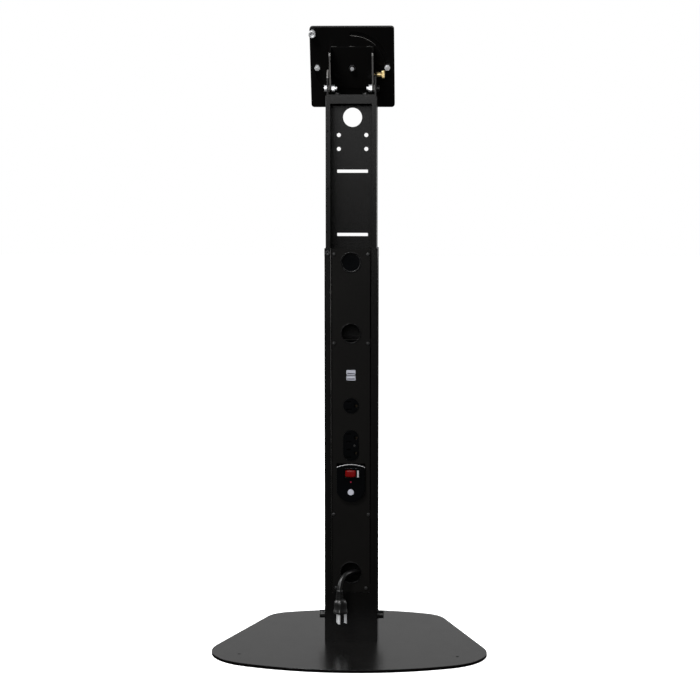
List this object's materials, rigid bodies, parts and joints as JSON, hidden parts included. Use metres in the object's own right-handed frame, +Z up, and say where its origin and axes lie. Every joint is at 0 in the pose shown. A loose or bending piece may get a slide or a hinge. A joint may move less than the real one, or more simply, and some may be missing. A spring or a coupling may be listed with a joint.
{
  "type": "display floor stand",
  "caption": "Steel floor stand with a sliding column, a tilting and turning display plate, and a built-in power strip behind a service panel.",
  "frame": {"origin": "on the floor under the middle of the base plate", "axes": "+Z up, the service side faces -Y and the screen side faces +Y"},
  "size_m": [0.436, 0.4056, 0.9899],
  "materials": {
    "powder_coat": "satin black powder coat",
    "black_screw": "black oxide",
    "zinc_steel": "bright zinc plate",
    "contact_brass": "dull, spring temper",
    "black_plastic": "moulded",
    "gloss_black": "glossy moulded",
    "red_lens": "clear red",
    "red_plastic": "glossy",
    "pale_plastic": "moulded",
    "circuit_board": "solder mask",
    "blue_disc": "dipped",
    "brass": "turned",
    "cord_rubber": "moulded PVC",
    "nylon": "natural"
  },
  "bodies": {
    "stand": {"base_plate": "powder_coat", "foot_bracket": "powder_coat", "foot_screws": "zinc_steel", "side_bolts": "black_screw", "side_washers": "black_screw", "lower_column": "powder_coat", "service_panel": "powder_coat", "panel_tabs": "powder_coat", "panel_screws": "black_screw", "blanking_disc": "black_plastic", "cable_grommet": "gloss_black", "cord_grommet": "gloss_black", "height_lock_screw": "black_screw", "strip_tray": "powder_coat", "strip_housing": "black_plastic", "strip_back": "black_plastic", "surge_head": "gloss_black", "led_lens": "red_lens", "badge_disc": "pale_plastic", "outlet_single": "gloss_black", "outlet_pair": "gloss_black", "outlet_screw": "black_screw", "usb_ports": "pale_plastic", "usb_tongues": "pale_plastic", "usb_board": "circuit_board", "surge_board": "circuit_board", "varistor_discs": "blue_disc", "bus_bars": "contact_brass", "cord_relief": "cord_rubber", "cord_lead": "cord_rubber", "cord_hank": "cord_rubber", "hank_tie": "black_plastic", "cord_tail": "cord_rubber", "plug_relief": "cord_rubber", "plug_body": "cord_rubber", "plug_blades": "zinc_steel", "plug_ground_pin": "zinc_steel"},
    "column": {"upper_column": "powder_coat", "column_cap": "powder_coat", "ear_bracket": "powder_coat", "cap_bolts": "black_screw", "cap_nuts": "black_screw", "hinge_bolts": "zinc_steel", "hinge_washers": "nylon", "hinge_nuts": "zinc_steel"},
    "head": {"tilt_bracket": "powder_coat", "head_plate": "powder_coat", "pivot_washer": "nylon"},
    "mount": {"vesa_plate": "powder_coat", "pivot_bolt": "zinc_steel", "pivot_nut": "black_screw", "guide_bolts": "zinc_steel", "guide_washers": "zinc_steel", "guide_nuts": "zinc_steel"},
    "rocker": {"power_rocker": "red_plastic"},
    "tilt_clamp": {"tilt_clamp_screw": "brass"},
    "turn_lock": {"turn_lock_screw": "zinc_steel"}
  },
  "joints": [
    {"name": "column_slide", "type": "slide", "parent": "stand", "child": "column", "axis": [0, 0, 1], "range_m": [-0.15, 0.05]},
    {"name": "head_tilt", "type": "hinge", "parent": "column", "child": "head", "pos_m": [0, 0.0065, 0.8915], "axis": [1, 0, 0], "range_deg": [-20, 35]},
    {"name": "head_turn", "type": "hinge", "parent": "head", "child": "mount", "pos_m": [0, 0.0232, 0.92527], "axis": [0, -0.9291, -0.3697], "range_deg": [0, 90]},
    {"name": "rocker_press", "type": "hinge", "parent": "stand", "child": "rocker", "pos_m": [0, -0.022, 0.279], "axis": [0, 0, 1], "range_deg": [0, 12]},
    {"name": "tilt_clamp_turn", "type": "hinge", "parent": "column", "child": "tilt_clamp", "pos_m": [0.0433, 0.0065, 0.9133], "axis": [1, 0, 0], "range_deg": [-180, 0]},
    {"name": "turn_lock_turn", "type": "hinge", "parent": "head", "child": "turn_lock", "pos_m": [-0.0625, 0.00026, 0.97749], "axis": [0, -0.9291, -0.3697], "range_deg": [-180, 0]}
  ]
}
